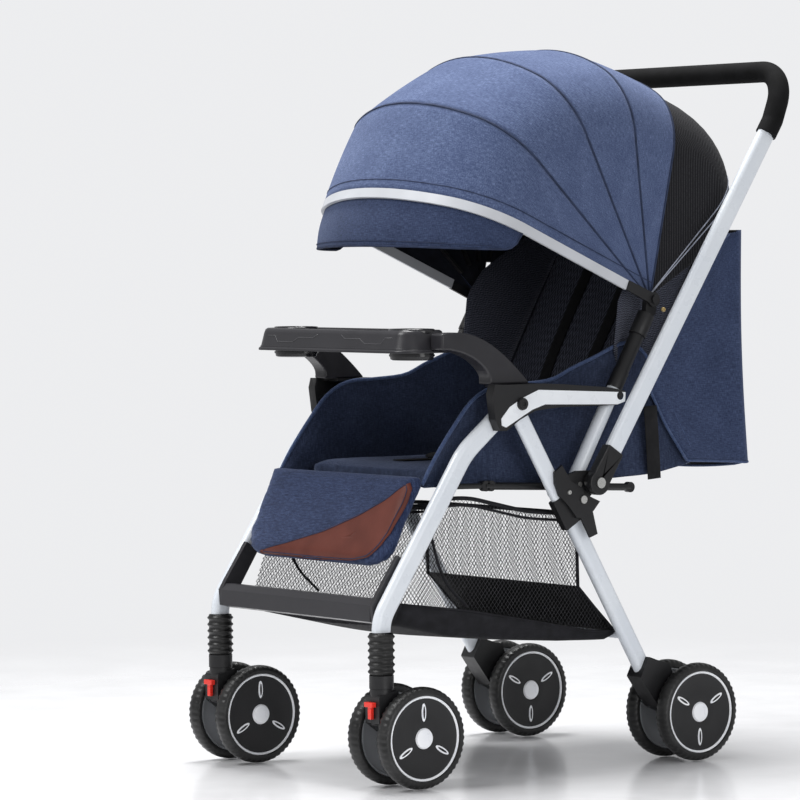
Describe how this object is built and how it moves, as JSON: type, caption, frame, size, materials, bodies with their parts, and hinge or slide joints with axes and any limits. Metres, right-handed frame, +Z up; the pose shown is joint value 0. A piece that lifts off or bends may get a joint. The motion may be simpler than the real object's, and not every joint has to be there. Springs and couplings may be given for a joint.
{
  "type": "baby stroller",
  "caption": "Folding four-corner pushchair with hood, snack tray, reclining mesh seat, leg rest, under-seat basket, reversible push bar and twin wheels.",
  "frame": {"origin": "on the floor, midway between the front and rear axles and midway between the two sides", "axes": "+X to the right seen from the front, -Y to the front, +Z up"},
  "size_m": [0.518, 0.8115, 1.0933],
  "materials": {
    "frame_paint": "satin cool-white powder coat",
    "white_plastic": "smooth white moulding",
    "black_plastic": "fine-textured black moulding",
    "tray_plastic": "charcoal moulding, satin",
    "bellows_rubber": "matt black rubber",
    "grip_foam": "matt closed-cell foam",
    "tyre_rubber": "satin black EVA",
    "wheel_plastic": "black with silver ring and cap",
    "zinc_steel": "zinc-plated",
    "red_plastic": "glossy red",
    "navy_fabric": "melange woven polyester",
    "dark_mesh": "dark open-weave mesh",
    "basket_net": "black diamond net",
    "basket_cloth": "black coated cloth",
    "webbing": "black woven webbing",
    "leather_trim": "brown synthetic leather"
  },
  "bodies": {
    "side_frame": {"rear_leg_upper_tubes": "frame_paint", "side_tubes": "frame_paint", "armrest_shells": "black_plastic", "armrest_panels": "white_plastic", "frame_pivot_pins": "zinc_steel", "knuckle_brackets": "black_plastic", "rear_leg_sleeves": "black_plastic", "canopy_hinge_brackets": "black_plastic", "canopy_rib_4": "black_plastic", "seat_pad": "navy_fabric", "seat_side_panels": "navy_fabric", "harness_buckle": "black_plastic", "canopy_fabric": "navy_fabric", "canopy_back_mesh": "dark_mesh", "recline_straps": "webbing"},
    "fold_lock_left": {"fold_lock_left": "black_plastic"},
    "fold_lock_right": {"fold_lock_right": "black_plastic"},
    "front_legs": {"front_leg_tubes": "frame_paint", "front_crossbar": "black_plastic", "basket_mesh": "basket_net", "basket_base": "basket_cloth", "bellows_left": "bellows_rubber", "bellows_right": "bellows_rubber"},
    "seat_rail_front": {"seat_rail_rods": "black_plastic"},
    "seat_rail_rear": {"seat_rail_sleeves": "black_plastic"},
    "front_post_left": {"front_post_left": "black_plastic"},
    "front_post_right": {"front_post_right": "black_plastic"},
    "front_fork_left": {"front_fork_left": "black_plastic", "front_axle_left": "zinc_steel"},
    "front_fork_right": {"front_fork_right": "black_plastic", "front_axle_right": "zinc_steel"},
    "swivel_lock_left": {"swivel_lock_left": "red_plastic"},
    "swivel_lock_right": {"swivel_lock_right": "red_plastic"},
    "front_wheels_left": {"front_tyres_left": "tyre_rubber", "front_rims_left": "wheel_plastic"},
    "front_wheels_right": {"front_tyres_right": "tyre_rubber", "front_rims_right": "wheel_plastic"},
    "rear_legs": {"rear_leg_tubes": "frame_paint", "rear_wheel_housings": "black_plastic", "rear_cross_tube": "zinc_steel", "rear_axles": "zinc_steel"},
    "rear_wheels_left": {"rear_tyres_left": "tyre_rubber", "rear_rims_left": "wheel_plastic"},
    "rear_wheels_right": {"rear_tyres_right": "tyre_rubber", "rear_rims_right": "wheel_plastic"},
    "brake": {"brake_pedals": "black_plastic"},
    "push_bar": {"handle_tube": "frame_paint", "handle_grip": "grip_foam", "handle_end_sleeves": "black_plastic"},
    "hood_rib_3": {"canopy_rib_3": "black_plastic"},
    "hood_rib_2": {"canopy_rib_2": "black_plastic"},
    "hood_rib_1": {"canopy_rib_1": "black_plastic"},
    "hood_bow": {"canopy_bow": "frame_paint", "canopy_bow_ends": "black_plastic", "canopy_visor": "navy_fabric"},
    "backrest": {"backrest_pad": "dark_mesh", "back_flap": "navy_fabric", "harness_webbing": "webbing"},
    "leg_rest": {"leg_rest": "navy_fabric"},
    "tray": {"tray": "tray_plastic"}
  },
  "joints": [
    {"name": "rear_leg_fold", "type": "hinge", "parent": "side_frame", "child": "rear_legs", "pos_m": [0, 0.0227, 0.423], "axis": [1, 0, 0], "range_deg": [-34, 0]},
    {"name": "front_leg_fold", "type": "hinge", "parent": "side_frame", "child": "front_legs", "pos_m": [0, -0.066, 0.556], "axis": [1, 0, 0], "range_deg": [0, 13.8]},
    {"name": "seat_rail_rod_fold", "type": "hinge", "parent": "front_legs", "child": "seat_rail_front", "pos_m": [0, -0.181, 0.436], "axis": [1, 0, 0], "range_deg": [-7.4, 0]},
    {"name": "seat_rail_sleeve_fold", "type": "hinge", "parent": "side_frame", "child": "seat_rail_rear", "pos_m": [0, 0.049, 0.432], "axis": [1, 0, 0], "range_deg": [0, 6.6]},
    {"name": "handle_swing", "type": "hinge", "parent": "side_frame", "child": "push_bar", "pos_m": [0, 0.07, 0.434], "axis": [1, 0, 0], "range_deg": [0, 66]},
    {"name": "backrest_recline", "type": "hinge", "parent": "side_frame", "child": "backrest", "pos_m": [0, 0.15, 0.45], "axis": [1, 0, 0], "range_deg": [-35, 0], "deforming": ["canopy_back_mesh", "recline_straps"]},
    {"name": "leg_rest_tilt", "type": "hinge", "parent": "side_frame", "child": "leg_rest", "pos_m": [0, -0.195, 0.458], "axis": [-1, 0, 0], "range_deg": [0, 60]},
    {"name": "tray_lift", "type": "slide", "parent": "side_frame", "child": "tray", "axis": [0, 0, 1], "range_m": [0, 0.03]},
    {"name": "hood_rib_3_fold", "type": "hinge", "parent": "side_frame", "child": "hood_rib_3", "pos_m": [0, 0.203, 0.707], "axis": [1, 0, 0], "range_deg": [-13.5, 0], "deforming": ["canopy_fabric"]},
    {"name": "hood_rib_2_fold", "type": "hinge", "parent": "hood_rib_3", "child": "hood_rib_2", "pos_m": [0, 0.203, 0.707], "axis": [1, 0, 0], "range_deg": [-13.5, 0]},
    {"name": "hood_rib_1_fold", "type": "hinge", "parent": "hood_rib_2", "child": "hood_rib_1", "pos_m": [0, 0.203, 0.707], "axis": [1, 0, 0], "range_deg": [-13.5, 0]},
    {"name": "hood_bow_fold", "type": "hinge", "parent": "hood_rib_1", "child": "hood_bow", "pos_m": [0, 0.203, 0.707], "axis": [1, 0, 0], "range_deg": [-13.5, 0]},
    {"name": "brake_press", "type": "hinge", "parent": "rear_legs", "child": "brake", "pos_m": [0, 0.256, 0.118], "axis": [-1, 0, 0], "range_deg": [0, 15]},
    {"name": "fold_lock_turn_left", "type": "hinge", "parent": "side_frame", "child": "fold_lock_left", "pos_m": [-0.232, 0.05, 0.409], "axis": [-1, 0, 0], "range_deg": [0, 20], "stiffness_Nm_per_rad": 0.05, "springref_deg": -11.46},
    {"name": "suspension_left", "type": "slide", "parent": "front_legs", "child": "front_post_left", "axis": [0, 0, 1], "range_m": [0, 0.015], "stiffness_N_per_m": 4000, "springref_m": -0.015, "deforming": ["bellows_left"]},
    {"name": "front_swivel_left", "type": "hinge", "parent": "front_post_left", "child": "front_fork_left", "pos_m": [-0.207, -0.309, 0.12], "axis": [0, 0, 1], "continuous": true},
    {"name": "swivel_lock_slide_left", "type": "slide", "parent": "front_fork_left", "child": "swivel_lock_left", "axis": [0, 0, 1], "range_m": [0, 0.005]},
    {"name": "front_wheel_spin_left", "type": "hinge", "parent": "front_fork_left", "child": "front_wheels_left", "pos_m": [-0.207, -0.265, 0.075], "axis": [1, 0, 0], "continuous": true},
    {"name": "rear_wheel_spin_left", "type": "hinge", "parent": "rear_legs", "child": "rear_wheels_left", "pos_m": [-0.207, 0.265, 0.075], "axis": [1, 0, 0], "continuous": true},
    {"name": "fold_lock_turn_right", "type": "hinge", "parent": "side_frame", "child": "fold_lock_right", "pos_m": [0.232, 0.05, 0.409], "axis": [-1, 0, 0], "range_deg": [0, 20], "stiffness_Nm_per_rad": 0.05, "springref_deg": -11.46},
    {"name": "suspension_right", "type": "slide", "parent": "front_legs", "child": "front_post_right", "axis": [0, 0, 1], "range_m": [0, 0.015], "stiffness_N_per_m": 4000, "springref_m": -0.015, "deforming": ["bellows_right"]},
    {"name": "front_swivel_right", "type": "hinge", "parent": "front_post_right", "child": "front_fork_right", "pos_m": [0.207, -0.309, 0.12], "axis": [0, 0, 1], "continuous": true},
    {"name": "swivel_lock_slide_right", "type": "slide", "parent": "front_fork_right", "child": "swivel_lock_right", "axis": [0, 0, 1], "range_m": [0, 0.005]},
    {"name": "front_wheel_spin_right", "type": "hinge", "parent": "front_fork_right", "child": "front_wheels_right", "pos_m": [0.207, -0.265, 0.075], "axis": [1, 0, 0], "continuous": true},
    {"name": "rear_wheel_spin_right", "type": "hinge", "parent": "rear_legs", "child": "rear_wheels_right", "pos_m": [0.207, 0.265, 0.075], "axis": [1, 0, 0], "continuous": true}
  ],
  "couplings": [
    {"joint": "front_leg_fold", "follows": "rear_leg_fold", "ratio": -0.4},
    {"joint": "seat_rail_rod_fold", "follows": "rear_leg_fold", "ratio": 0.2106},
    {"joint": "seat_rail_sleeve_fold", "follows": "rear_leg_fold", "ratio": -0.1894},
    {"joint": "hood_rib_2_fold", "follows": "hood_rib_3_fold", "ratio": 1},
    {"joint": "hood_rib_1_fold", "follows": "hood_rib_3_fold", "ratio": 1},
    {"joint": "hood_bow_fold", "follows": "hood_rib_3_fold", "ratio": 1}
  ]
}
